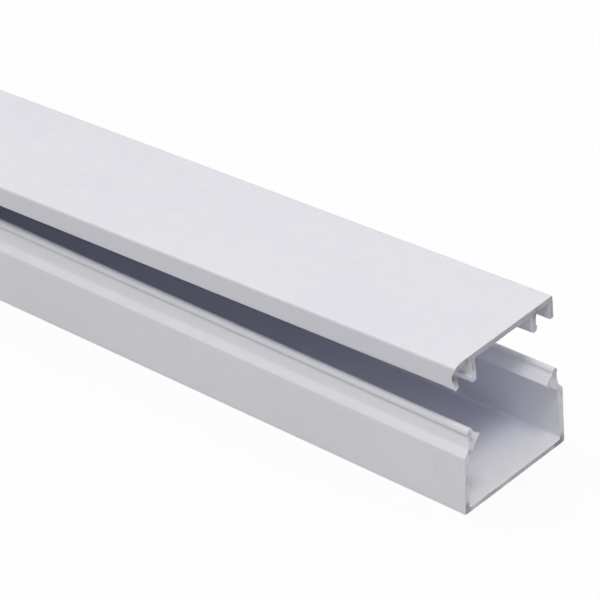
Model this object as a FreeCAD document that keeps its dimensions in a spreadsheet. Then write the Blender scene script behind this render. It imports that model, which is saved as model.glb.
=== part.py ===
"""Two-piece cord cover raceway: a base channel and the cover that snaps into it.

Frame: millimetres, +X along the stock towards the end that stands open, +Z up,
origin at the middle of the base channel's underside. Both sections are drawn
looking at that open end, with the cover at the place that it has when closed.
The cover is then turned about its far end, where it is still clipped on.
"""
import FreeCAD, Part
import os

import Sketcher
from FreeCAD import Vector

SIZES = [
    ("stock_length", 400.0, "length that both pieces are sawn to"),
    ("base_width", 25.0, "width across the underside of the base"),
    ("wall_thickness", 1.0, "side wall of the base"),
    ("floor_thickness", 0.9, "floor of the base"),
    ("wall_lean", 0.3, "how far a side wall leans in by the shoulder"),
    ("shoulder_height", 10.45, "top of the plain side wall"),
    ("ledge_inset", 1.15, "top edge of the shoulder's slope, in from the widest side"),
    ("ledge_height", 11.75, "height of that edge"),
    ("neck_inset", 1.75, "outer face of the neck, in from the widest side"),
    ("neck_thickness", 1.0, "thin strip that stands on the sloping shoulder"),
    ("neck_foot", 13.3, "height where the leaning foot of the neck turns upright"),
    ("lip_height", 15.0, "top of the round bead along the neck"),
    ("lip_bead", 1.25, "diameter of that bead"),
    ("hook_tip_height", 12.75, "height of the hook's tip"),
    ("hook_reach", 4.15, "tip of the hook, in from the widest side"),
    ("hook_root", 10.2, "height where the hook's underside meets the wall"),
    ("outer_round", 0.25, "radius along the two bottom corners"),
    ("inner_round", 0.5, "radius inside, between floor and wall"),
    ("shoulder_round", 0.4, "radius along the shoulder"),
    ("neck_round", 1.6, "hollow radius where the neck turns upright"),
    ("tip_round", 0.25, "radius along the hook's tip"),
    ("cover_inset", 0.05, "cover's side, in from the base's widest side"),
    ("plate_thickness", 1.0, "flat top of the cover"),
    ("seat_clearance", 0.1, "between the plate and the beads that it sits on"),
    ("skirt_thickness", 0.9, "outer skirt of the cover"),
    ("skirt_lean", 0.05, "how far a skirt leans in at its lower edge"),
    ("skirt_gap", 0.7, "skirt's inner lower edge above the sloping shoulder"),
    ("leg_thickness", 1.0, "springy inner leg of the cover"),
    ("leg_clearance", 0.1, "between a leg and the hook's tip"),
    ("barb_catch", 0.2, "how far a barb reaches under the hook's tip"),
    ("barb_clearance", 0.1, "between the top of a barb and the hook's tip"),
    ("corner_round", 0.3, "radius along the cover's two upper corners"),
    ("skirt_round", 0.15, "radius along the lower edges of a skirt"),
    ("root_round", 0.25, "hollow radius between the plate and what hangs from it"),
    ("open_lift", 10.6, "how far the open end is lifted off the base"),
    ("cover_slide", 1.5, "how far the cover has slid past the closed end"),
    ("yield_clearance", 0.05, "left between a barb and the tip that pushes it in"),
]

HALF = "sizes.base_width / 2"
NECK_OUTER = f"{HALF} - sizes.neck_inset"
NECK_INNER = f"{NECK_OUTER} - sizes.neck_thickness"
WALL_FOOT = f"{HALF} - sizes.wall_thickness"
WALL_HEAD = f"{WALL_FOOT} - sizes.wall_lean"
SHOULDER = f"{HALF} - sizes.wall_lean"
HOOK_TIP = f"{HALF} - sizes.hook_reach"
LIP_CENTRE = f"{NECK_OUTER} - sizes.neck_thickness / 2"
LIP_CENTRE_HEIGHT = "sizes.lip_height - sizes.lip_bead / 2"

COVER_HALF = f"{HALF} - sizes.cover_inset"
UNDERSIDE = "sizes.lip_height + sizes.seat_clearance"
CLOSED_HEIGHT = f"{UNDERSIDE} + sizes.plate_thickness"
SKIRT_OUTER = f"{COVER_HALF} - sizes.skirt_lean"
SKIRT_INNER = f"{SKIRT_OUTER} - sizes.skirt_thickness"
SKIRT_ROOT = f"{COVER_HALF} - sizes.skirt_thickness"
LEDGE = f"{HALF} - sizes.ledge_inset"
SLOPE = "(sizes.ledge_height - sizes.shoulder_height) / (sizes.ledge_inset - sizes.wall_lean)"
SLOPE_UNDER_SKIRT = f"sizes.shoulder_height + ({SHOULDER} - ({SKIRT_INNER})) * {SLOPE}"
SKIRT_FOOT = f"{SLOPE_UNDER_SKIRT} + sizes.skirt_gap"
LEG_OUTER = f"{HOOK_TIP} - sizes.leg_clearance"
LEG_INNER = f"{LEG_OUTER} - sizes.leg_thickness"
BARB_RADIUS = "(sizes.leg_thickness + sizes.leg_clearance + sizes.barb_catch) / 2"
BARB_CENTRE = f"{LEG_INNER} + {BARB_RADIUS}"
BARB_HEIGHT = f"sizes.hook_tip_height - sizes.barb_clearance - {BARB_RADIUS}"
OPEN_ANGLE = "asin(sizes.open_lift / (sizes.stock_length - sizes.cover_slide))"


def make_sheet(doc):
    """Put every driving dimension into the sheet, each under its own word."""
    sheet = doc.addObject("Spreadsheet::Sheet", "sizes")
    for row, (alias, value, meaning) in enumerate(SIZES, start=1):
        sheet.set(f"A{row}", meaning)
        sheet.set(f"B{row}", str(value))
        sheet.setAlias(f"B{row}", alias)
    doc.recompute()


def value_of(sheet, expression):
    """Work out an expression of the sheet's sizes as a plain number."""
    return float(sheet.evalExpression(expression.replace("sizes.", "")))


def origin_plane(body, role):
    """Find one of the body's own origin planes."""
    return next(item for item in body.Origin.OriginFeatures if item.Role == role)


def new_sketch(body, name):
    """Start a cross-section sketch: its x is across the stock and its y is up."""
    sketch = body.newObject("Sketcher::SketchObject", name)
    sketch.AttachmentSupport = [(origin_plane(body, "YZ_Plane"), "")]
    sketch.MapMode = "FlatFace"
    return sketch


def pin_point(sketch, element, point, names, expressions):
    """Tie a point to the section's origin by two sizes, across and up."""
    for kind, name, expression in zip(("DistanceX", "DistanceY"), names, expressions):
        if expression == "0":
            axis = -2 if kind == "DistanceX" else -1
            sketch.addConstraint(Sketcher.Constraint("PointOnObject", element, point, axis))
            continue
        start = value_of(sketch.Document.sizes, expression)
        index = sketch.addConstraint(Sketcher.Constraint(kind, -1, 1, element, point, start))
        sketch.renameConstraint(index, name)
        sketch.setExpression(f"Constraints.{name}", expression)


def outline(sketch, corners):
    """Draw a closed outline of straight lines through named corners."""
    sheet = sketch.Document.sizes
    spots = [Vector(value_of(sheet, across), value_of(sheet, up), 0) for _, across, up in corners]
    count = len(corners)
    for index in range(count):
        sketch.addGeometry(Part.LineSegment(spots[index], spots[(index + 1) % count]), False)
    for index in range(count):
        sketch.addConstraint(Sketcher.Constraint("Coincident", index, 2, (index + 1) % count, 1))
    for index, (name, across, up) in enumerate(corners):
        pin_point(sketch, index, 1, (f"{name}_across", f"{name}_up"), (across, up))


def circle(sketch, radius, across, up):
    """Draw a circle whose centre and radius follow the sheet."""
    sheet = sketch.Document.sizes
    centre = Vector(value_of(sheet, across), value_of(sheet, up), 0)
    start = value_of(sheet, radius)
    sketch.addGeometry(Part.Circle(centre, Vector(0, 0, 1), start), False)
    pin_point(sketch, 0, 3, ("centre_across", "centre_up"), (across, up))
    index = sketch.addConstraint(Sketcher.Constraint("Radius", 0, start))
    sketch.renameConstraint(index, "radius")
    sketch.setExpression("Constraints.radius", radius)


def extrude(body, sketch, name):
    """Run a cross-section along the whole stock length."""
    pad = body.newObject("PartDesign::Pad", name)
    pad.Profile = sketch
    pad.setExpression("Length", "sizes.stock_length")
    sketch.Visibility = False
    return pad


def mirror_half(body, originals):
    """Repeat the half section on the other side of the stock's middle plane."""
    mirror = body.newObject("PartDesign::Mirrored", "BothSides")
    mirror.Originals = originals
    mirror.MirrorPlane = (origin_plane(body, "XZ_Plane"), [""])
    body.Tip = mirror
    body.Document.recompute()


def edges_through(shape, corners):
    """Name the long edges that pass through the given section corners, on both sides."""
    names = []
    for number, edge in enumerate(shape.Edges, start=1):
        ends = [vertex.Point for vertex in edge.Vertexes]
        if len(ends) < 2 or edge.Length < shape.BoundBox.XLength / 2:
            continue
        for across, up in corners:
            if all(abs(abs(end.y) - across) < 1e-4 and abs(end.z - up) < 1e-4 for end in ends):
                names.append(f"Edge{number}")
    return names


def round_edges(body, name, radius, corners):
    """Round the edges that run along the stock through the given corners."""
    sheet = body.Document.sizes
    places = [(value_of(sheet, across), value_of(sheet, up)) for across, up in corners]
    previous = body.Tip
    names = edges_through(previous.Shape, places)
    if len(names) != 2 * len(corners):
        raise RuntimeError(f"{name}: found {len(names)} edges for {len(corners)} corners")
    fillet = body.newObject("PartDesign::Fillet", name)
    fillet.Base = (previous, names)
    fillet.setExpression("Radius", f"sizes.{radius}")
    body.Tip = fillet
    body.Document.recompute()


def make_base(doc):
    """Base channel: floor, side walls, sloping shoulders, beaded necks and inner hooks."""
    body = doc.addObject("PartDesign::Body", "BaseChannel")
    body.Label = "base_channel"
    section = new_sketch(body, "BaseSection")
    outline(section, [
        ("middle_under", "0", "0"),
        ("side_foot", HALF, "0"),
        ("shoulder", SHOULDER, "sizes.shoulder_height"),
        ("ledge", LEDGE, "sizes.ledge_height"),
        ("neck_foot", NECK_OUTER, "sizes.neck_foot"),
        ("neck_head_outer", NECK_OUTER, LIP_CENTRE_HEIGHT),
        ("neck_head_inner", NECK_INNER, LIP_CENTRE_HEIGHT),
        ("hook_tip", HOOK_TIP, "sizes.hook_tip_height"),
        ("hook_root", WALL_HEAD, "sizes.hook_root"),
        ("wall_foot", WALL_FOOT, "sizes.floor_thickness"),
        ("middle_floor", "0", "sizes.floor_thickness"),
    ])
    profile = extrude(body, section, "BaseHalf")
    bead = new_sketch(body, "LipBeadSection")
    circle(bead, "sizes.lip_bead / 2", LIP_CENTRE, LIP_CENTRE_HEIGHT)
    lip = extrude(body, bead, "LipBead")
    doc.recompute()
    mirror_half(body, [profile, lip])
    round_edges(body, "BottomCorners", "outer_round", [(HALF, "0")])
    round_edges(body, "InnerCorners", "inner_round", [(WALL_FOOT, "sizes.floor_thickness")])
    round_edges(body, "Shoulders", "shoulder_round", [(SHOULDER, "sizes.shoulder_height")])
    round_edges(body, "NeckFeet", "neck_round", [(NECK_OUTER, "sizes.neck_foot")])
    round_edges(body, "HookTips", "tip_round", [(HOOK_TIP, "sizes.hook_tip_height")])
    body.setExpression("Placement.Base.x", "-sizes.stock_length / 2")
    return body


def make_cover(doc):
    """Snap-fit cover: flat plate, outer skirts and inner legs that end in round barbs."""
    body = doc.addObject("PartDesign::Body", "SnapCover")
    body.Label = "snap_cover"
    section = new_sketch(body, "CoverSection")
    outline(section, [
        ("middle_top", "0", CLOSED_HEIGHT),
        ("corner", COVER_HALF, CLOSED_HEIGHT),
        ("skirt_outer", SKIRT_OUTER, SKIRT_FOOT),
        ("skirt_inner", SKIRT_INNER, SKIRT_FOOT),
        ("skirt_root", SKIRT_ROOT, UNDERSIDE),
        ("leg_root_outer", LEG_OUTER, UNDERSIDE),
        ("leg_foot_outer", LEG_OUTER, BARB_HEIGHT),
        ("leg_foot_inner", LEG_INNER, BARB_HEIGHT),
        ("leg_root_inner", LEG_INNER, UNDERSIDE),
        ("middle_under", "0", UNDERSIDE),
    ])
    profile = extrude(body, section, "CoverHalf")
    bulb = new_sketch(body, "BarbSection")
    circle(bulb, BARB_RADIUS, BARB_CENTRE, BARB_HEIGHT)
    barb = extrude(body, bulb, "Barb")
    passage = make_hook_passage(body)
    doc.recompute()
    mirror_half(body, [profile, barb, passage])
    round_edges(body, "UpperCorners", "corner_round", [(COVER_HALF, CLOSED_HEIGHT)])
    round_edges(body, "SkirtEdges", "skirt_round",
                [(SKIRT_OUTER, SKIRT_FOOT), (SKIRT_INNER, SKIRT_FOOT)])
    round_edges(body, "Roots", "root_round",
                [(SKIRT_ROOT, UNDERSIDE), (LEG_OUTER, UNDERSIDE), (LEG_INNER, UNDERSIDE)])
    # The cover turns about the line where its plate sits on the base's closed end.
    pivot = f"vector(sizes.cover_slide; 0; {UNDERSIDE})"
    shift = "vector(-sizes.stock_length / 2 - sizes.cover_slide; 0; 0)"
    turn = f"rotation(vector(0; -1; 0); {OPEN_ANGLE})"
    body.setExpression("Placement", f"placement({shift}; {turn}; {pivot})")
    return body


def make_hook_passage(body):
    """Clear the way of the base's hook through a barb that is only half pressed home.

    Near the closed end the barb lies under the hook and further on it stands above
    it. In between, the springy leg gives way by barb_catch, and this cut stands for
    that. Its outline is the hook's, in a plane square to the base.
    """
    sketch = new_sketch(body, "HookPassage")
    turn = f"rotation(vector(1; 0; 0); {OPEN_ANGLE})"
    sketch.setExpression(
        "AttachmentOffset", f"placement(vector(0; {UNDERSIDE}; sizes.cover_slide); {turn})")
    outline(sketch, [
        ("tip", f"{HOOK_TIP} - sizes.yield_clearance", f"sizes.hook_tip_height - ({UNDERSIDE})"),
        ("crown", NECK_INNER, f"{LIP_CENTRE_HEIGHT} + sizes.yield_clearance - ({UNDERSIDE})"),
        ("root", WALL_HEAD, f"sizes.hook_root - sizes.yield_clearance - ({UNDERSIDE})"),
    ])
    pocket = body.newObject("PartDesign::Pocket", "PassageCut")
    pocket.Profile = sketch
    pocket.Reversed = True
    pocket.setExpression("Length", "sizes.stock_length")
    sketch.Visibility = False
    return pocket


def check_document(doc, bodies):
    """Stop if a feature failed or a piece isn't one valid solid."""
    for item in doc.Objects:
        if "Invalid" in item.State or "Error" in item.State:
            raise RuntimeError(f"{item.Name} is {item.State}")
    for body in bodies:
        shape = body.Shape
        if shape.isNull() or not shape.isValid() or len(shape.Solids) != 1:
            raise RuntimeError(f"{body.Label} is not one valid solid")


def main():
    """Build both pieces and write each to its own file."""
    doc = FreeCAD.newDocument("cord_cover_raceway")
    make_sheet(doc)
    bodies = [make_base(doc), make_cover(doc)]
    doc.recompute()
    check_document(doc, bodies)
    overlap = bodies[0].Shape.common(bodies[1].Shape).Volume
    print(f"base and cover overlap by {overlap:.4f} cubic mm")
    os.makedirs("parts", exist_ok=True)
    for body in bodies:
        body.Shape.exportStep(f"parts/{body.Label}.step")
        print(f"{body.Label}: {body.Shape.Volume / 1000:.2f} cubic cm")


main()
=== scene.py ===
"""Dressed scene of the cord cover raceway: a white base channel and its half-open cover.

Both pieces are extruded plastic, so each is drawn as one section, rounded, run along
the stock and then given what extruding, sawing and handling leave on the real thing.
Lengths are metres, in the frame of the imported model.
"""

import logging
import math
from dataclasses import dataclass, field
from enum import Enum
from typing import Sequence

import bmesh
import bpy
from mathutils import Matrix, Vector, noise


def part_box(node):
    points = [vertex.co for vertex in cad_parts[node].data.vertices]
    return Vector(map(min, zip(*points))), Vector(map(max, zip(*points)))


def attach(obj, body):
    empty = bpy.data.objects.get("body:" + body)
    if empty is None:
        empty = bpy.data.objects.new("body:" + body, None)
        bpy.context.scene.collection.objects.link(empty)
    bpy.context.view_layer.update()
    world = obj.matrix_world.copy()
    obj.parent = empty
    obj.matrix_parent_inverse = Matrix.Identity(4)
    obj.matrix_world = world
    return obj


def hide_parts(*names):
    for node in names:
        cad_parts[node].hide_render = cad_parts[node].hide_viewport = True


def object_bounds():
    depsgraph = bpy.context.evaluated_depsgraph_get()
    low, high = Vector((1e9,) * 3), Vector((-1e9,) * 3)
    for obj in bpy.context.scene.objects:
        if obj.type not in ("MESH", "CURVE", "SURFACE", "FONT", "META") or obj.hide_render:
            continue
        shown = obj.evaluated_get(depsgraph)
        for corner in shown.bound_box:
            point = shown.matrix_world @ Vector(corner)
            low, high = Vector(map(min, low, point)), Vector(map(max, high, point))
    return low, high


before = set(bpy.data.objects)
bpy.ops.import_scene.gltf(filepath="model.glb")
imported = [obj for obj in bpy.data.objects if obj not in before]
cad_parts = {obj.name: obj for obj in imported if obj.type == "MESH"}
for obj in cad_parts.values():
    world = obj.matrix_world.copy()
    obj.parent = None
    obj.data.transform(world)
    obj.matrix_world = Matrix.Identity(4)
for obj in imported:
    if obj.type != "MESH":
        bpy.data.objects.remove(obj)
CAD_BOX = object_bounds()

Colour = tuple[float, float, float, float]
Triple = tuple[float, float, float]
Socket = bpy.types.NodeSocket

MM = 0.001
BODY = "root"
# noise vectors differ from run to run unless they are given a seed
WAVE_SEED = 1
ORIGIN = Vector((0.0, 0.0, 0.0))
WHITE = (1.0, 1.0, 1.0, 1.0)
WARM = (1.0, 0.985, 0.965)
# painted shade and painted light: the dark and the light colour of patches laid on the sawn ends
# where shade or light falls
PAINTED_SHADE = (0.16, 0.16, 0.18, 1.0)
PAINTED_LIGHT = (0.80, 0.80, 0.86, 1.0)
LOG = logging.getLogger("raceway")


class Side(Enum):
    """The two sawn ends of a length of stock, as the sign of their outward X."""

    CLOSED = -1
    OPEN = 1


class Surface(Enum):
    """What made a face of the stock, as the place of its material on the piece."""

    EXTRUDED = 0
    SAWN = 1


@dataclass(frozen=True)
class Corner:
    """One corner of a half section: its place, and the radius that rounds it."""

    across: float
    up: float
    radius: float = 0.0

    @property
    def place(self) -> Vector:
        """The corner as a point of the section."""
        return Vector((self.across, self.up))


@dataclass(frozen=True)
class BaseSizes:
    """Sizes of the base channel's section."""

    wall: float = 1.0 * MM
    floor: float = 0.9 * MM
    wall_lean: float = 0.3 * MM
    shoulder_height: float = 10.45 * MM
    ledge_inset: float = 1.35 * MM
    ledge_height: float = 11.64 * MM
    neck_inset: float = 1.75 * MM
    neck: float = 1.0 * MM
    neck_foot: float = 13.3 * MM
    bead: float = 1.25 * MM
    bead_depth: float = 1.0 * MM
    bead_round_share: float = 0.49
    hook_crown: float = 14.25 * MM
    hook_tip_height: float = 12.75 * MM
    hook_reach: float = 4.15 * MM
    hook_root: float = 10.2 * MM
    outer_round: float = 0.25 * MM
    inner_round: float = 0.5 * MM
    shoulder_round: float = 0.4 * MM
    ledge_round: float = 1.0 * MM
    neck_round: float = 1.6 * MM
    crown_round: float = 0.2 * MM
    tip_round: float = 0.25 * MM
    bead_foot_round: float = 0.16 * MM


@dataclass(frozen=True)
class CoverSizes:
    """Sizes of the cover's section, with the cover pressed home on the base."""

    inset: float = 0.05 * MM
    plate: float = 1.0 * MM
    seat_clearance: float = 0.1 * MM
    skirt: float = 0.9 * MM
    skirt_lean: float = 0.05 * MM
    skirt_height: float = 4.0 * MM
    leg: float = 1.0 * MM
    leg_clearance: float = 0.1 * MM
    barb_catch: float = 0.2 * MM
    barb_clearance: float = 0.1 * MM
    yield_clearance: float = 0.05 * MM
    corner_round: float = 0.4 * MM
    skirt_round: float = 0.15 * MM
    root_round: float = 0.25 * MM
    foot_round_share: float = 0.98
    catch_round_share: float = 0.95
    slide: float = 1.5 * MM

    @property
    def barb_radius(self) -> float:
        """Radius of the round barb at a leg's foot."""
        return (self.leg + self.leg_clearance + self.barb_catch) / 2


@dataclass(frozen=True)
class StockWear:
    """How uneven an extrusion and its sawn ends are."""

    wave: float = 0.035 * MM
    wave_length: float = 38 * MM
    wave_across: float = 14 * MM
    wave_up: float = 9 * MM
    flat_back: float = 2 * MM
    saw_depth: float = 0.09 * MM
    saw_grain: float = 0.9 * MM
    broken_edge: float = 0.05 * MM
    broken_share: float = 0.6
    burr_grain: float = 1.3 * MM


@dataclass(frozen=True)
class LipWear:
    """How the base's front lip is cut back and bent, and its back hook drawn out."""

    foot_height: float = 11.2 * MM
    height_blend: float = 2 * MM
    cut: float = 0.45 * MM
    cut_beyond_neck: float = 1 * MM
    cut_blend: float = 1 * MM
    cut_fade: float = 2.2 * MM
    tip_pull: Triple = (-0.1 * MM, 0.1 * MM, 0.6 * MM)
    tip_reach: float = 1.8 * MM
    tip_fade: float = 1.6 * MM
    stretch: float = 0.4 * MM
    stretch_reach: float = 1.95 * MM
    stretch_run: float = 100 * MM
    bend_slope: float = 0.0042
    bend_middle: float = 163 * MM
    bend_start: float = -50 * MM
    bend_run: float = 135 * MM


@dataclass(frozen=True)
class CoverWear:
    """How far the cover's open end is out of square, and how its legs bend."""

    front_proud: float = 0.18 * MM
    back_short: float = 0.22 * MM
    cut_fade: float = 2.2 * MM
    leg_margin: float = 0.2 * MM
    leg_power: float = 1.5


@dataclass(frozen=True)
class EndPull:
    """A burr or a small bend of a piece at its sawn end, as the photograph shows it.

    The place is in the section of the closed raceway. The pull is along the stock,
    across it and up, and fades away from that place and along the stock.
    """

    across: float
    up: float
    reach: float
    pull: Triple
    fade: float

    def at(self, point: Vector, end: float) -> Vector:
        """Give the pull on one point.

        Args:
            point: the point, in the closed raceway.
            end: X of the sawn end.

        Returns:
            How far the point is moved.
        """
        away = math.hypot(point.y - self.across, point.z - self.up)
        near = max(0.0, 1.0 - away / self.reach) * math.exp((point.x - end) / self.fade)
        return Vector(self.pull) * near


@dataclass(frozen=True)
class Grain:
    """A noise pattern: its cells in a metre, its finer layers and their strength."""

    cells: float
    detail: float = 3.0
    roughness: float = 0.55


@dataclass(frozen=True)
class PaintedPatch:
    """A patch of painted shade or painted light on a sawn end, as the photograph shows it."""

    place: Triple
    reach: float
    colour: Colour
    strength: float

    @classmethod
    def in_mm(cls, place: Triple, reach: float, colour: Colour, strength: float) -> "PaintedPatch":
        """Make a patch of painted shade or painted light from lengths in millimetres.

        Args:
            place: its middle.
            reach: its radius.
            colour: its colour.
            strength: share of its colour at its middle.

        Returns:
            The painted patch.
        """
        return cls(tuple(length * MM for length in place), reach * MM, colour, strength)


def unit(value: float) -> float:
    """Keep a share between 0 and 1."""
    return min(1.0, max(0.0, value))


def shaded(colour: Colour, shares: Colour) -> Colour:
    """Multiply a colour's channels by their shares."""
    return tuple(channel * share for channel, share in zip(colour, shares))


def arc_offset(before: Corner, corner: Corner, after: Corner) -> float:
    """Work out how far along its edges a corner's arc starts.

    Args:
        before: the section's corner before it.
        corner: the corner itself.
        after: the section's corner after it.

    Returns:
        The distance from the corner to the start of the arc.
    """
    turn = (corner.place - before.place).angle(after.place - corner.place)
    return corner.radius * math.tan(turn / 2)


class NodeBuilder:
    """Adds and joins the nodes of one material, or of the sky."""

    # a Mix node has inputs of the same name for each kind of value, so these are numbers
    mix_inputs = (0, 6, 7)
    mix_output = 2

    def __init__(self, owner: bpy.types.Material | bpy.types.World) -> None:
        """Start with no nodes.

        Args:
            owner: the new material or world.
        """
        owner.use_nodes = True
        self.owner = owner
        self.tree = owner.node_tree
        self.tree.nodes.clear()

    def feed(self, target: Socket, value: object) -> None:
        """Join an input to an output socket, or give it a plain value.

        Args:
            target: the input.
            value: the socket or the value.
        """
        if isinstance(value, Socket):
            self.tree.links.new(value, target)
        else:
            target.default_value = value

    def add(self, kind: str, settings: dict[str, object] | None = None,
            inputs: Sequence[object] = (), **sockets: object) -> bpy.types.Node:
        """Add a node and fill its inputs.

        Args:
            kind: the node's type, without its leading "ShaderNode".
            settings: the node's own properties.
            inputs: values or output sockets for the first inputs, in their order.
            **sockets: values or output sockets by the input's name, with _ for a space.

        Returns:
            The new node.
        """
        node = self.tree.nodes.new("ShaderNode" + kind)
        for key, value in (settings or {}).items():
            setattr(node, key, value)
        for target, value in zip(node.inputs, inputs):
            self.feed(target, value)
        for key, value in sockets.items():
            self.feed(node.inputs[key.replace("_", " ")], value)
        return node

    def math(self, operation: str, first: object, second: object = 0.0) -> Socket:
        """Combine two numbers.

        Args:
            operation: the Math node's operation.
            first: a number or socket.
            second: a number or socket.

        Returns:
            The socket that holds the result.
        """
        return self.add("Math", {"operation": operation}, (first, second)).outputs[0]

    def weigh(self, first: Socket, second: Socket, share: float) -> Socket:
        """Add two patterns up by their shares.

        Args:
            first: the first pattern.
            second: the second pattern.
            share: share of the first one.

        Returns:
            The socket that holds the sum.
        """
        return self.math("ADD", self.math("MULTIPLY", first, share),
                         self.math("MULTIPLY", second, 1.0 - share))

    def blend(self, factor: object, low: object, high: object) -> Socket:
        """Blend two colours.

        Args:
            factor: share of the second colour.
            low: the first colour.
            high: the second colour.

        Returns:
            The socket that holds the colour.
        """
        node = self.add("Mix", {"data_type": "RGBA"})
        for index, value in zip(self.mix_inputs, (factor, low, high)):
            self.feed(node.inputs[index], value)
        return node.outputs[self.mix_output]

    def blend_shaders(self, factor: object, low: Socket, high: Socket) -> Socket:
        """Blend two shaders, with the factor as the share of the second one."""
        return self.add("MixShader", None, (factor, low, high)).outputs[0]

    def spread(self, value: object, low: float, high: float) -> Socket:
        """Stretch the band from low to high over 0 to 1, with soft ends.

        Args:
            value: the number to stretch.
            low: where the result is 0.
            high: where the result is 1.

        Returns:
            The socket that holds the result.
        """
        node = self.add("MapRange", {"interpolation_type": "SMOOTHSTEP"},
                        Value=value, From_Min=low, From_Max=high)
        return node.outputs["Result"]

    def pattern(self, turn: float = 0.0, centre: Vector = ORIGIN,
                stretch: Triple = (1.0, 1.0, 1.0)) -> Socket:
        """Give object coordinates turned to the stock and stretched.

        Args:
            turn: angle about Y that brings the stock's length on to X.
            centre: the point that the turn is about.
            stretch: scale along the stock, across it and up.

        Returns:
            The vector socket.
        """
        vector = self.add("TexCoord").outputs["Object"]
        for change in ({"Location": tuple(-centre)}, {"Rotation": (0.0, turn, 0.0)},
                       {"Scale": stretch}):
            node = self.add("Mapping", {"vector_type": "POINT"}, Vector=vector, **change)
            vector = node.outputs[0]
        return vector

    def noise(self, vector: Socket, grain: Grain) -> Socket:
        """Give a noise value round 0.5 at the given coordinates."""
        return self.add("TexNoise", Vector=vector, Scale=grain.cells, Detail=grain.detail,
                        Roughness=grain.roughness).outputs[0]

    def distance(self, vector: Socket, point: Triple) -> Socket:
        """Give the distance from the coordinates to a point."""
        return self.add("VectorMath", {"operation": "DISTANCE"},
                        (vector, point)).outputs["Value"]

    def relief(self, *layers: tuple[Socket, float]) -> Socket:
        """Turn heights into a normal.

        Args:
            *layers: heights from 0 to 1, each with its real depth, broadest first.

        Returns:
            The normal socket.
        """
        below: dict[str, Socket] = {}
        for height, depth in layers:
            node = self.add("Bump", Height=height, Distance=depth, Strength=1.0, **below)
            below = {"Normal": node.outputs[0]}
        return below["Normal"]

    def finish(self, shader: Socket,
               output: str = "OutputMaterial") -> bpy.types.Material | bpy.types.World:
        """Join the shader to the output.

        Args:
            shader: output of the last shader node.
            output: the output node's type, without its leading "ShaderNode".

        Returns:
            The finished material or world.
        """
        self.add(output, Surface=shader)
        return self.owner


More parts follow.
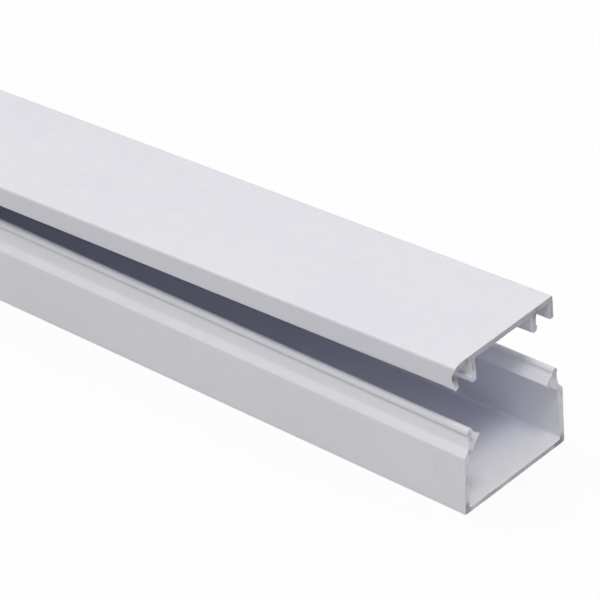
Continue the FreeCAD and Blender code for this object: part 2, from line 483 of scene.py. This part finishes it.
@dataclass(frozen=True)
class Plastic:
    """Satin white extruded plastic, with die lines and faint marks, and painted shade: a darker,
    cool tone laid into its hollows.

    A band is the two noise or openness values between which a look comes in.
    """

    name: str
    turn: float
    centre: Vector
    colour: Colour
    open_end: float
    hollow_shade_share: float
    hollow_side: float
    worn_shares: Colour = (0.965, 0.968, 0.975, 1.0)
    cloud: Grain = Grain(45.0)
    mottle: Grain = Grain(420.0, 4.0, 0.62)
    cloud_share: float = 0.5
    shade_band: tuple[float, float] = (0.38, 0.62)
    mark_colour: Colour = (0.55, 0.55, 0.58, 1.0)
    specks: Grain = Grain(1500.0, 1.0)
    speck_band: tuple[float, float] = (0.735, 0.79)
    speck_strength: float = 0.35
    # painted shade: a darker, cool tone laid where the AO node finds hollows, lighter and bluer
    # further from the open end, and kept off the lit end
    hollow_shade_colour: Colour = (0.53, 0.575, 0.79, 1.0)
    deep_shade_colour: Colour = (0.75, 0.79, 1.0, 1.0)
    hollow_band: tuple[float, float] = (0.67, 0.38)
    hollow_reach: float = 24 * MM
    hollow_samples: int = 8
    side_blend: float = 0.4 * MM
    lit_end: float = 14 * MM
    deep_start: float = 130 * MM
    roughness: float = 0.42
    roughness_swing: float = 0.22
    refraction: float = 1.53
    line_stretch: float = 0.006
    broad_lines: Grain = Grain(420.0, 2.0)
    broad_depth: float = 0.012 * MM
    lines: Grain = Grain(2600.0, 3.0, 0.6)
    line_depth: float = 0.004 * MM
    pores: Grain = Grain(3400.0, 2.0)
    pore_depth: float = 0.0025 * MM

    def material(self) -> bpy.types.Material:
        """Build the material.

        Returns:
            The finished material.
        """
        build = NodeBuilder(bpy.data.materials.new(self.name))
        plain = build.pattern(self.turn, self.centre)
        drawn = build.pattern(self.turn, self.centre, (self.line_stretch, 1.0, 1.0))
        mottle = build.noise(plain, self.mottle)
        lines = build.noise(drawn, self.lines)
        # lay the painted shade over the hollows
        shade_tone, share = self.paint_hollow_shade(build, plain)
        base = build.blend(share, self.marked_colour(build, plain, mottle), shade_tone)
        swing = build.math("SUBTRACT", build.math("ADD", lines, mottle), 1.0)
        rough = build.math("ADD", self.roughness,
                           build.math("MULTIPLY", swing, self.roughness_swing))
        relief = build.relief((build.noise(drawn, self.broad_lines), self.broad_depth),
                              (lines, self.line_depth),
                              (build.noise(plain, self.pores), self.pore_depth))
        shader = build.add("BsdfPrincipled", Base_Color=base, Roughness=rough,
                           Normal=relief, IOR=self.refraction)
        return build.finish(shader.outputs[0])

    def marked_colour(self, build: NodeBuilder, plain: Socket, mottle: Socket) -> Socket:
        """Cloud the plastic's colour a little and add a few faint specks.

        Args:
            build: the material's nodes.
            plain: coordinates along the stock.
            mottle: the mottled pattern.

        Returns:
            The socket that holds the colour.
        """
        tone = build.weigh(build.noise(plain, self.cloud), mottle, self.cloud_share)
        shade = build.spread(tone, *self.shade_band)
        clean = build.blend(shade, shaded(self.colour, self.worn_shares), self.colour)
        specks = build.spread(build.noise(plain, self.specks), *self.speck_band)
        return build.blend(build.math("MULTIPLY", specks, self.speck_strength), clean,
                           self.mark_colour)

    def paint_hollow_shade(self, build: NodeBuilder, plain: Socket) -> tuple[Socket, Socket]:
        """Paint shade into the hollows between the walls: a darker, cool tone.

        Args:
            build: the material's nodes.
            plain: coordinates along the stock.

        Returns:
            The sockets that hold the painted shade's tone and its share.
        """
        open_sky = build.add("AmbientOcclusion", {"samples": self.hollow_samples},
                             Distance=self.hollow_reach)
        hollow = build.spread(open_sky.outputs["AO"], *self.hollow_band)
        along, across, _ = build.add("SeparateXYZ", Vector=plain).outputs
        inside = build.spread(along, self.open_end + self.lit_end / 2,
                              self.open_end - self.lit_end)
        between = build.spread(build.math("ABSOLUTE", across), self.hollow_side,
                               self.hollow_side - self.side_blend)
        near_end = build.spread(along, self.open_end - self.deep_start, self.open_end)
        shade_tone = build.blend(near_end, self.deep_shade_colour, self.hollow_shade_colour)
        share = build.math("MULTIPLY", build.math("MULTIPLY", inside, between),
                           self.hollow_shade_share)
        return shade_tone, build.math("MULTIPLY", hollow, share)


@dataclass(frozen=True)
class SawnPlastic:
    """The rough, greyer face that a saw leaves, with teeth marks and dust in its pits. Its grey
    is partly the saw's finish and partly painted shade of ends turned from the light.

    A painted patch's edge is ragged, and lies between the outer and inner share of its reach.
    """

    name: str
    colour: Colour
    dust_colour: Colour
    painted_patches: tuple[PaintedPatch, ...]
    roughness: float = 0.75
    pits: Grain = Grain(1500.0, 4.0, 0.65)
    pit_share: float = 0.45
    pit_depth: float = 0.05 * MM
    patches: Grain = Grain(260.0)
    dust_band: tuple[float, float] = (0.50, 0.66)
    teeth: Grain = Grain(5200.0, 2.0)
    teeth_stretch: float = 0.25
    teeth_depth: float = 0.03 * MM
    ragged_share: float = 0.4
    outer_share: float = 1.3
    inner_share: float = 0.5

    def material(self) -> bpy.types.Material:
        """Build the material.

        Returns:
            The finished material.
        """
        build = NodeBuilder(bpy.data.materials.new(self.name))
        place = build.pattern()
        pits = build.noise(place, self.pits)
        dust = build.weigh(pits, build.noise(place, self.patches), self.pit_share)
        base = build.blend(build.spread(dust, *self.dust_band), self.colour,
                           self.dust_colour)
        # lay the patches of painted shade and painted light
        for painted_patch in self.painted_patches:
            ragged = build.math("MULTIPLY", pits, self.ragged_share * painted_patch.reach)
            away = build.math("ADD", build.distance(place, painted_patch.place), ragged)
            near = build.spread(away, self.outer_share * painted_patch.reach,
                                self.inner_share * painted_patch.reach)
            base = build.blend(build.math("MULTIPLY", near, painted_patch.strength), base,
                               painted_patch.colour)
        scored = build.pattern(stretch=(1.0, self.teeth_stretch, 1.0))
        relief = build.relief((build.noise(scored, self.teeth), self.teeth_depth),
                              (pits, self.pit_depth))
        shader = build.add("BsdfPrincipled", Base_Color=base, Roughness=self.roughness,
                           Normal=relief)
        return build.finish(shader.outputs[0])


@dataclass(frozen=True)
class PaleFloor:
    """Plain white studio floor that shows nearly white and keeps a light shadow.

    The object gets light from the matt floor alone. The camera sees a share of it
    under an even glow, so that the shadow stays light.
    """

    name: str = "studio_floor"
    colour: Colour = (0.47, 0.47, 0.48, 1.0)
    fleck_shares: Colour = (0.99, 0.99, 0.99, 1.0)
    flecks: Grain = Grain(30.0)
    glow: float = 0.83
    lift: float = 0.25
    shown_share: float = 0.25

    def material(self) -> bpy.types.Material:
        """Build the material.

        Returns:
            The finished material.
        """
        build = NodeBuilder(bpy.data.materials.new(self.name))
        grain = build.noise(build.add("TexCoord").outputs["Object"], self.flecks)
        paper = build.blend(grain, shaded(self.colour, self.fleck_shares), self.colour)
        matt = build.add("BsdfDiffuse", Color=paper).outputs[0]
        glow, lift = (build.add("Emission", Color=WHITE, Strength=strength).outputs[0]
                      for strength in (self.glow, self.lift))
        shown = build.blend_shaders(self.shown_share, glow, matt)
        shown = build.add("AddShader", None, (shown, lift)).outputs[0]
        rays = build.add("LightPath").outputs
        mirrored = build.math("MAXIMUM", rays["Is Glossy Ray"], rays["Is Transmission Ray"])
        seen = build.math("MAXIMUM", rays["Is Camera Ray"], mirrored)
        return build.finish(build.blend_shaders(seen, matt, shown))


@dataclass
class Extrusion:
    """A section run along the stock, with sawn ends.

    The half section runs from the middle plane round to the middle plane again,
    counter-clockwise seen from the open end.
    """

    corners: Sequence[Corner]
    start: float
    end: float
    half_width: float
    seed: float
    extra_rings: Sequence[float] = ()
    wear: StockWear = StockWear()
    outline_step: float = 0.7 * MM
    arc_segments: int = 5
    ring_spacing: float = 5 * MM
    end_rings: tuple[float, ...] = (0.12 * MM, 0.4 * MM, 1.0 * MM, 2.5 * MM)
    end_strip: float = 0.3 * MM
    end_normal: float = 0.9
    merge: float = 0.001 * MM
    corner_match: float = 0.002 * MM
    ring_match: float = 0.0001 * MM
    shape: bmesh.types.BMesh = field(init=False)

    def build(self) -> bmesh.types.BMesh:
        """Draw, extrude, slice and wear the section.

        Returns:
            The finished bmesh, with the surface of each face as its material.
        """
        self.shape = bmesh.new()
        self.draw_section()
        self.round_corners()
        self.divide_sides()
        self.run_along()
        self.slice_rings()
        self.wave()
        self.saw_ends()
        self.keep_inside()
        return self.shape

    def draw_section(self) -> None:
        """Draw the half section, mirror it and fill the whole."""
        made = [self.shape.verts.new((self.start, c.across, c.up)) for c in self.corners]
        edges = [self.shape.edges.new(pair) for pair in zip(made, made[1:])]
        bmesh.ops.mirror(self.shape, geom=made + edges, axis="Y", merge_dist=self.merge)
        bmesh.ops.contextual_create(self.shape, geom=self.shape.edges[:])

    def round_corners(self) -> None:
        """Round each corner that has a radius, with its mirror image."""
        near = self.corner_match
        for before, corner, after in zip(self.corners, self.corners[1:], self.corners[2:]):
            if corner.radius <= 0.0:
                continue
            found = [v for v in self.shape.verts
                     if abs(abs(v.co.y) - corner.across) < near
                     and abs(v.co.z - corner.up) < near]
            bmesh.ops.bevel(self.shape, geom=found, offset=arc_offset(before, corner, after),
                            offset_type="OFFSET", segments=self.arc_segments, profile=0.5,
                            affect="VERTICES", material=-1)

    def divide_sides(self) -> None:
        """Divide the section's long sides."""
        for edge in self.shape.edges[:]:
            cuts = int(edge.calc_length() / self.outline_step)
            if cuts > 0:
                bmesh.ops.subdivide_edges(self.shape, edges=[edge], cuts=cuts)

    def run_along(self) -> None:
        """Extrude the section to the far end."""
        made = bmesh.ops.extrude_face_region(self.shape, geom=self.shape.faces[:],
                                             use_keep_orig=True)
        moved = [item for item in made["geom"] if isinstance(item, bmesh.types.BMVert)]
        bmesh.ops.translate(self.shape, verts=moved, vec=(self.end - self.start, 0.0, 0.0))
        bmesh.ops.recalc_face_normals(self.shape, faces=self.shape.faces[:])

    def ring_places(self) -> list[float]:
        """List where the stock is cut into rings.

        Returns:
            The places in order, with a few close to each end.
        """
        length = self.end - self.start
        count = int(length / self.ring_spacing)
        places = {self.start + length * index / count for index in range(1, count)}
        for gap in self.end_rings:
            places |= {self.start + gap, self.end - gap}
        return sorted(places | set(self.extra_rings))

    def slice_rings(self) -> None:
        """Cut the stock into rings, closer together where it needs them."""
        for place in self.ring_places():
            geometry = self.shape.verts[:] + self.shape.edges[:] + self.shape.faces[:]
            bmesh.ops.bisect_plane(self.shape, geom=geometry, dist=self.ring_match,
                                   plane_co=(place, 0.0, 0.0), plane_no=(1.0, 0.0, 0.0))

    def wave(self) -> None:
        """Let the stock wander a little from dead straight, as extrusions do."""
        w = self.wear
        for vert in self.shape.verts:
            spot = Vector((vert.co.x / w.wave_length, vert.co.y / w.wave_across,
                           vert.co.z / w.wave_up + self.seed))
            sway = noise.noise_vector(spot) * w.wave
            vert.co.y += sway.y
            if vert.co.z > w.flat_back:
                vert.co.z += sway.z

    def saw_ends(self) -> None:
        """Roughen both sawn faces, break their edges and show the saw's finish there."""
        for face in self.shape.faces:
            if abs(face.normal.x) > self.end_normal:
                face.material_index = Surface.SAWN.value
            else:
                face.smooth = True
        for vert in self.shape.verts:
            if vert.co.x < self.start + self.merge:
                self.roughen(vert, Side.CLOSED)
            elif vert.co.x > self.end - self.merge:
                self.roughen(vert, Side.OPEN)
        ends = {round(self.start / self.end_strip), round(self.end / self.end_strip)}
        for face in self.shape.faces:
            strips = {round(v.co.x / self.end_strip) for v in face.verts}
            if face.smooth and strips <= ends:
                face.material_index = Surface.SAWN.value

    def roughen(self, vert: bmesh.types.BMVert, side: Side) -> None:
        """Set a point of a sawn face back, and further where it is on the edge.

        Args:
            vert: the point.
            side: the end that it is at.
        """
        w = self.wear
        rough = noise.noise(vert.co / w.saw_grain + Vector((0.0, 0.0, self.seed)))
        chip = noise.noise(vert.co / w.burr_grain + Vector((0.0, self.seed, 0.0)))
        outward = sum((face.normal for face in vert.link_faces
                       if face.material_index == Surface.EXTRUDED.value), Vector())
        vert.co.x -= side.value * max(0.0, rough) * w.saw_depth
        vert.co -= outward.normalized() * (w.broken_share + chip) * w.broken_edge

    def keep_inside(self) -> None:
        """Keep the worn stock within the size of the plain one."""
        low = min(c.up for c in self.corners)
        high = max(c.up for c in self.corners)
        for vert in self.shape.verts:
            vert.co.x = min(max(vert.co.x, self.start), self.end)
            vert.co.y = min(max(vert.co.y, -self.half_width), self.half_width)
            vert.co.z = min(max(vert.co.z, low), high)


def make_piece(name: str, shape: bmesh.types.BMesh, materials: Sequence[bpy.types.Material],
               node: str) -> bpy.types.Object:
    """Turn a bmesh into a piece that rides on the body.

    Args:
        name: the piece's name.
        shape: its mesh, in the row frame.
        materials: its materials, in the order of Surface.
        node: the CAD node that it stands for.

    Returns:
        The new object.
    """
    mesh = bpy.data.meshes.new(name)
    shape.to_mesh(mesh)
    shape.free()
    for material in materials:
        mesh.materials.append(material)
    piece = bpy.data.objects.new(name, mesh)
    bpy.context.scene.collection.objects.link(piece)
    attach(piece, BODY)
    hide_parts(node)
    LOG.info("%s: %d faces", name, len(mesh.polygons))
    return piece


@dataclass
class BaseChannel:
    """The U-shaped base with sloping shoulders, beaded necks and inner hooks."""

    low: Vector
    high: Vector
    sizes: BaseSizes = BaseSizes()
    wear: LipWear = LipWear()
    half_width: float = 12.5 * MM
    seed: float = 3.1
    colour: Colour = (0.82, 0.812, 0.828, 1.0)
    # share of painted shade laid into the channel's hollows
    hollow_shade_share: float = 0.55
    hollow_inset: float = 0.5 * MM
    # the sawn end's colours are darker than the extruded faces: partly the saw's greyer finish,
    # partly painted shade of the end turned from the light
    sawn_colour: Colour = (0.71, 0.71, 0.73, 1.0)
    dust_colour: Colour = (0.45, 0.45, 0.47, 1.0)

    def section(self) -> list[Corner]:
        """Give the half section, from the middle of the back round to the floor's middle.

        Returns:
            The corners in order.
        """
        s = self.sizes
        neck_outer = self.half_width - s.neck_inset
        bead_middle = neck_outer - s.neck / 2
        bead_outer = bead_middle + s.bead / 2
        bead_inner = bead_middle - s.bead / 2
        bead_foot = self.high.z - s.bead_depth
        bead_round = s.bead_round_share * s.bead
        wall_foot = self.half_width - s.wall
        return [
            Corner(0.0, 0.0),
            Corner(self.half_width, 0.0, s.outer_round),
            Corner(self.half_width - s.wall_lean, s.shoulder_height, s.shoulder_round),
            Corner(self.half_width - s.ledge_inset, s.ledge_height, s.ledge_round),
            Corner(neck_outer, s.neck_foot, s.neck_round),
            Corner(neck_outer, bead_foot),
            Corner(bead_outer, bead_foot, s.bead_foot_round),
            Corner(bead_outer, self.high.z, bead_round),
            Corner(bead_inner, self.high.z, bead_round),
            Corner(bead_inner, s.hook_crown, s.crown_round),
            Corner(self.half_width - s.hook_reach, s.hook_tip_height, s.tip_round),
            Corner(wall_foot - s.wall_lean, s.hook_root, s.inner_round),
            Corner(wall_foot, s.floor, s.inner_round),
            Corner(0.0, s.floor),
        ]

    def plastic(self) -> bpy.types.Material:
        """Give the finish of the extruded faces."""
        return Plastic("base_white", 0.0, ORIGIN, self.colour, self.high.x,
                       self.hollow_shade_share, self.high.y - self.hollow_inset).material()

    def sawn(self) -> bpy.types.Material:
        """Give the finish of the two ends, with the patches of painted shade and painted light
        on the open one.

        Returns:
            The finished material.
        """
        end = self.high.x / MM
        # dark patches are painted shade, light patches are painted light, on the open end
        # across, up and reach in millimetres, then colour and strength
        rows = (
            (-10.2, 14.5, 0.8, PAINTED_LIGHT, 0.8),
            (-10.2, 13.0, 0.7, PAINTED_SHADE, 0.35),
            (-8.7, 13.1, 1.5, PAINTED_LIGHT, 1.0),
            (-10.9, 11.0, 0.5, PAINTED_SHADE, 0.5),
            (-11.5, 9.7, 0.7, PAINTED_LIGHT, 0.7),
            (-11.9, 1.0, 1.6, PAINTED_SHADE, 0.5),
            (10.4, 14.2, 1.3, PAINTED_SHADE, 0.35),
            (-6.0, 0.4, 4.0, PAINTED_SHADE, 0.35),
            (0.5, 0.4, 4.0, PAINTED_SHADE, 0.35),
            (6.5, 0.4, 4.0, PAINTED_SHADE, 0.4),
            (11.0, 0.6, 1.8, PAINTED_SHADE, 0.8),
        )
        painted_patches = tuple(PaintedPatch.in_mm((end, across, up), reach, colour, strength)
                        for across, up, reach, colour, strength in rows)
        return SawnPlastic("base_sawn_end", self.sawn_colour, self.dust_colour,
                           painted_patches).material()

    def build(self) -> bpy.types.Object:
        """Make the channel.

        Returns:
            The finished piece.
        """
        stock = Extrusion(self.section(), self.low.x, self.high.x, self.high.y, self.seed)
        shape = stock.build()
        self.stretch_hook(shape)
        self.wear_lip(shape)
        self.bend_lip(shape)
        return make_piece("channel_body", shape, (self.plastic(), self.sawn()),
                          "base_channel")

    def lip_share(self, height: float) -> float:
        """Say how much of a lip's wear a height gets, from 0 at its foot to 1."""
        return unit((height - self.wear.foot_height) / self.wear.height_blend)

    def stretch_hook(self, shape: bmesh.types.BMesh) -> None:
        """Let the back hook reach a little further where the cover no longer touches it.

        Args:
            shape: the channel's mesh.
        """
        w = self.wear
        tip = Vector((self.half_width - self.sizes.hook_reach, self.sizes.hook_tip_height))
        for vert in shape.verts:
            away = (Vector((vert.co.y, vert.co.z)) - tip).length
            near = max(0.0, 1.0 - away / w.stretch_reach)
            vert.co.y -= w.stretch * near * unit(0.5 + vert.co.x / w.stretch_run)

    def wear_lip(self, shape: bmesh.types.BMesh) -> None:
        """Cut the front lip back a little at the open end, and bend its hook's tip up there.

        Args:
            shape: the channel's mesh.
        """
        s, w = self.sizes, self.wear
        cut_side = s.neck_inset + s.neck + w.cut_beyond_neck - self.half_width
        tip = EndPull(s.hook_reach - self.half_width, s.hook_tip_height, w.tip_reach,
                      w.tip_pull, w.tip_fade)
        for vert in shape.verts:
            beside = unit((cut_side - vert.co.y) / w.cut_blend)
            height = self.lip_share(vert.co.z)
            fade = math.exp(-(self.high.x - vert.co.x) / w.cut_fade)
            vert.co += tip.at(vert.co, self.high.x)
            vert.co.x -= w.cut * beside * height * fade

    def bend_lip(self, shape: bmesh.types.BMesh) -> None:
        """Bend the front lip a little down at the open end and up further in.

        Args:
            shape: the channel's mesh.
        """
        w = self.wear
        for vert in shape.verts:
            if vert.co.y < 0.0:
                bend = w.bend_slope * (w.bend_middle - vert.co.x)
                fade = unit((vert.co.x - w.bend_start) / w.bend_run)
                vert.co.z += bend * self.lip_share(vert.co.z) * fade


@dataclass
class SnapCover:
    """The flat cover with outer skirts and springy inner legs."""

    base: BaseChannel
    high: Vector
    length: float
    sizes: CoverSizes = CoverSizes()
    wear: CoverWear = CoverWear()
    seed: float = 8.7
    ride_spacing: float = 2.5 * MM
    ride_count: int = 25
    colour: Colour = (0.76, 0.748, 0.78, 1.0)
    # share of painted shade laid into the cover's hollows
    hollow_shade_share: float = 0.12
    # the sawn end's colours are much darker than the extruded faces: partly the saw's greyer
    # finish, partly painted shade of the end turned from the light
    sawn_colour: Colour = (0.46, 0.46, 0.49, 1.0)
    dust_colour: Colour = (0.27, 0.27, 0.29, 1.0)

    @property
    def underside(self) -> float:
        """Height of the plate's underside when the cover is pressed home."""
        return self.base.high.z + self.sizes.seat_clearance

    @property
    def top(self) -> float:
        """Height over the cover when it is pressed home."""
        return self.underside + self.sizes.plate

    @property
    def open_angle(self) -> float:
        """Angle that the cover makes with the base, from how high its open end stands."""
        return math.asin((self.high.z - self.top) / (self.length - self.sizes.slide))

    @property
    def pivot(self) -> Vector:
        """Where the plate sits on the base's closed end."""
        return Vector((self.base.low.x, 0.0, self.underside))

    @property
    def barb_height(self) -> float:
        """Height of a barb's middle when the cover is pressed home."""
        s = self.sizes
        return self.base.sizes.hook_tip_height - s.barb_clearance - s.barb_radius

    def section(self) -> list[Corner]:
        """Give the half section, from the middle of the top round to the underside's middle.

        Returns:
            The corners in order.
        """
        s = self.sizes
        side = self.base.half_width - s.inset
        skirt_foot = self.top - s.skirt_height
        leg_outer = self.base.half_width - self.base.sizes.hook_reach - s.leg_clearance
        leg_inner = leg_outer - s.leg
        reach = leg_inner + 2 * s.barb_radius
        step = reach - leg_outer
        barb_top = self.barb_height + math.sqrt(s.barb_radius ** 2 - (s.barb_radius - step) ** 2)
        barb_foot = self.barb_height - s.barb_radius
        foot_round = s.foot_round_share * s.barb_radius
        return [
            Corner(0.0, self.underside),
            Corner(leg_inner, self.underside, s.root_round),
            Corner(leg_inner, barb_foot, foot_round),
            Corner(reach, barb_foot, foot_round),
            Corner(reach, barb_top, s.catch_round_share * step),
            Corner(leg_outer, barb_top),
            Corner(leg_outer, self.underside, s.root_round),
            Corner(side - s.skirt, self.underside, s.root_round),
            Corner(side - s.skirt_lean - s.skirt, skirt_foot, s.skirt_round),
            Corner(side - s.skirt_lean, skirt_foot, s.skirt_round),
            Corner(side, self.top, s.corner_round),
            Corner(0.0, self.top),
        ]

    def plastic(self) -> bpy.types.Material:
        """Give the finish of the extruded faces."""
        return Plastic("cover_white", self.open_angle, self.pivot, self.colour,
                       self.length - self.sizes.slide, self.hollow_shade_share,
                       self.base.high.y).material()

    def sawn(self) -> bpy.types.Material:
        """Give the finish of the two ends, with the patches of painted shade and painted light
        on the open one.

        Returns:
            The finished material.
        """
        # dark patches are painted shade, light patches are painted light, on the open end
        painted_patches = (
            PaintedPatch.in_mm((198.3, -11.9, 24.7), 1.0, PAINTED_SHADE, 0.95),
            PaintedPatch.in_mm((198.6, -11.9, 22.6), 1.1, PAINTED_LIGHT, 0.8),
            PaintedPatch.in_mm((198.4, -7.6, 22.8), 1.8, PAINTED_LIGHT, 0.6),
            PaintedPatch.in_mm((198.3, 7.9, 23.2), 2.0, PAINTED_LIGHT, 0.35),
            PaintedPatch.in_mm((198.3, 7.7, 25.4), 1.0, PAINTED_SHADE, 0.4),
        )
        return SawnPlastic("cover_sawn_end", self.sawn_colour, self.dust_colour,
                           painted_patches).material()

    def end_pulls(self) -> tuple[EndPull, ...]:
        """List the burrs and bends at the open end.

        Returns:
            One pull each for the front corner, the front skirt's middle and foot, and both legs.
        """
        side = self.base.half_width
        leg = side - self.base.sizes.hook_reach - self.sizes.leg / 2
        foot = self.top - self.sizes.skirt_height
        return (
            EndPull(-side, self.top, 1.5 * MM, (0.5 * MM, 0.0, 0.0), 1.5 * MM),
            EndPull(-side, self.top - 2.2 * MM, 1.6 * MM, (-0.6 * MM, 0.0, 0.0), 1.2 * MM),
            EndPull(-side, foot, 1.4 * MM, (0.25 * MM, 0.0, -0.25 * MM), 1.2 * MM),
            EndPull(-leg, self.barb_height, 3.4 * MM, (0.2 * MM, 0.0, -0.15 * MM), 6 * MM),
            EndPull(leg, self.barb_height, 3.4 * MM, (-0.3 * MM, 0.0, 0.25 * MM), 12 * MM),
        )

    def wear_end(self, shape: bmesh.types.BMesh, end: float) -> None:
        """Set the open end slightly off square and give it its burrs and bends.

        Args:
            shape: the cover's mesh, still pressed home.
            end: X of the open end.
        """
        w = self.wear
        pulls = self.end_pulls()
        for vert in shape.verts:
            share = (1.0 + vert.co.y / self.high.y) / 2
            square = w.front_proud * (1.0 - share) - w.back_short * share
            moved = Vector((square * math.exp((vert.co.x - end) / w.cut_fade), 0.0, 0.0))
            vert.co += sum((item.at(vert.co, end) for item in pulls), moved)

    def leg_push(self, along: float) -> float:
        """Say how far a hook's tip pushes a barb inward.

        Args:
            along: distance from the base's closed end.

        Returns:
            The push at the barb's middle.
        """
        s = self.sizes
        above_tip = along * math.tan(self.open_angle) - s.barb_radius - s.barb_clearance
        reach = s.barb_radius + s.yield_clearance
        if abs(above_tip) >= reach:
            return 0.0
        beside_tip = s.leg_clearance + s.leg - s.barb_radius
        return max(0.0, math.sqrt(reach ** 2 - above_tip ** 2) - beside_tip)

    def bend_legs(self, shape: bmesh.types.BMesh) -> None:
        """Spring the legs inward where they are half pressed home.

        Args:
            shape: the cover's mesh, still pressed home.
        """
        start = self.base.low.x
        drop = self.underside - self.barb_height
        outermost = self.base.half_width - self.base.sizes.hook_reach + self.sizes.barb_catch
        outermost += self.wear.leg_margin
        for vert in shape.verts:
            depth = self.underside - vert.co.z
            if depth > 0.0 and abs(vert.co.y) <= outermost and vert.co.x >= start:
                share = min(1.0, depth / drop) ** self.wear.leg_power
                push = self.leg_push(vert.co.x - start) * share
                vert.co.y -= math.copysign(push, vert.co.y)

    def build(self) -> bpy.types.Object:
        """Make the cover, half open as it lies.

        Returns:
            The finished piece.
        """
        start = self.base.low.x - self.sizes.slide
        end = start + self.length
        riding = [self.base.low.x + index * self.ride_spacing
                  for index in range(1, self.ride_count + 1)]
        stock = Extrusion(self.section(), start, end, self.high.y, self.seed, riding)
        shape = stock.build()
        self.wear_end(shape, end)
        self.bend_legs(shape)
        turn = Matrix.Rotation(-self.open_angle, 3, "Y")
        bmesh.ops.rotate(shape, verts=shape.verts[:], cent=self.pivot, matrix=turn)
        for vert in shape.verts:
            vert.co.z = min(vert.co.z, self.high.z)
        return make_piece("cover_body", shape, (self.plastic(), self.sawn()),
                          "snap_cover")


@dataclass(frozen=True)
class SoftBox:
    """A large soft lamp aimed at the object."""

    name: str
    place: Triple
    aim: Triple
    width: float
    watts: float
    colour: Triple

    def build(self) -> None:
        """Put the lamp in the scene."""
        data = bpy.data.lights.new(self.name, "AREA")
        data.shape = "SQUARE"
        data.size = self.width
        data.energy = self.watts
        data.color = self.colour
        lamp = bpy.data.objects.new(self.name, data)
        bpy.context.scene.collection.objects.link(lamp)
        lamp.location = self.place
        direction = Vector(self.aim) - Vector(self.place)
        lamp.rotation_euler = direction.to_track_quat("-Z", "Y").to_euler()


@dataclass(frozen=True)
class PhotoView:
    """The camera as it stood for the photograph.

    The anchor is the middle of the base's lower edge at its open end, and
    anchor_pixel is where the photograph shows it.
    """

    azimuth: float = math.radians(43.40)
    elevation: float = math.radians(32.51)
    roll: float = math.radians(-3.78)
    focal_pixels: float = 3172.5
    distance: float = 495.2 * MM
    anchor_pixel: tuple[float, float] = (515.8, 477.6)
    frame_pixels: float = 600.0
    sensor: float = 36.0
    clip_start: float = 10 * MM

    def build(self, anchor: Vector) -> None:
        """Put the camera in the scene and make it the active one.

        Args:
            anchor: the anchor's place in the row frame.
        """
        back = Vector((math.sin(self.azimuth) * math.cos(self.elevation),
                       -math.cos(self.azimuth) * math.cos(self.elevation),
                       math.sin(self.elevation)))
        level = Vector((math.cos(self.azimuth), math.sin(self.azimuth), 0.0))
        upright = back.cross(level)
        right = math.cos(self.roll) * level + math.sin(self.roll) * upright
        up = -math.sin(self.roll) * level + math.cos(self.roll) * upright
        middle = self.frame_pixels / 2
        shift_right = (self.anchor_pixel[0] - middle) / self.focal_pixels * self.distance
        shift_up = (middle - self.anchor_pixel[1]) / self.focal_pixels * self.distance
        data = bpy.data.cameras.new("photo_camera")
        data.sensor_width = self.sensor
        data.lens = self.focal_pixels / self.frame_pixels * self.sensor
        data.clip_start = self.clip_start
        camera = bpy.data.objects.new("photo_camera", data)
        bpy.context.scene.collection.objects.link(camera)
        place = anchor - right * shift_right - up * shift_up + back * self.distance
        turned = Matrix((right, up, back)).transposed().to_4x4()
        camera.matrix_world = Matrix.Translation(place) @ turned
        bpy.context.scene.camera = camera


@dataclass(frozen=True)
class Studio:
    """Floor, sky and lamps."""

    sky: Colour = (0.93, 0.95, 0.985, 1.0)
    sky_strength: float = 0.66
    floor_size: float = 6.0
    lamps: tuple[SoftBox, ...] = (
        SoftBox("key_lamp", (0.80, -0.50, 1.85), (0.2, 0.0, 0.0), 0.55, 14.3, WARM),
        SoftBox("top_lamp", (-0.7, 0.3, 1.65), (0.0, 0.0, 0.0), 1.4, 4.2, WARM),
    )

    def build(self, floor_height: float) -> None:
        """Set up the studio.

        Args:
            floor_height: what the object stands on.
        """
        bpy.context.scene.view_settings.view_transform = "Standard"
        self.hang_sky()
        self.lay_floor(floor_height)
        for lamp in self.lamps:
            lamp.build()

    def hang_sky(self) -> None:
        """Light the object with the sky and show the camera a plain pale one."""
        build = NodeBuilder(bpy.data.worlds.new("studio_sky"))
        sky = build.add("Background", Color=self.sky, Strength=self.sky_strength)
        pale = build.add("Background", Strength=1.0)
        seen = build.add("LightPath").outputs["Is Camera Ray"]
        shader = build.blend_shaders(seen, sky.outputs[0], pale.outputs[0])
        bpy.context.scene.world = build.finish(shader, "OutputWorld")

    def lay_floor(self, height: float) -> None:
        """Lay the floor under the object.

        Args:
            height: the floor's height.
        """
        shape = bmesh.new()
        bmesh.ops.create_grid(shape, x_segments=2, y_segments=2, size=self.floor_size / 2)
        bmesh.ops.translate(shape, verts=shape.verts[:], vec=(0.0, 0.0, height))
        mesh = bpy.data.meshes.new("studio_floor")
        shape.to_mesh(mesh)
        shape.free()
        mesh.materials.append(PaleFloor().material())
        floor = bpy.data.objects.new("studio_floor", mesh)
        bpy.context.scene.collection.objects.link(floor)


def main() -> None:
    """Build the pieces, the studio and the camera."""
    logging.basicConfig(level=logging.INFO)
    noise.seed_set(WAVE_SEED)
    base_low, base_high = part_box("base_channel")
    cover_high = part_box("snap_cover")[1]
    base = BaseChannel(base_low, base_high)
    base.build()
    SnapCover(base, cover_high, base_high.x - base_low.x).build()
    Studio().build(CAD_BOX[0].z)
    PhotoView().build(Vector((base_high.x, 0.0, base_low.z)))


if __name__ == "__main__":
    main()
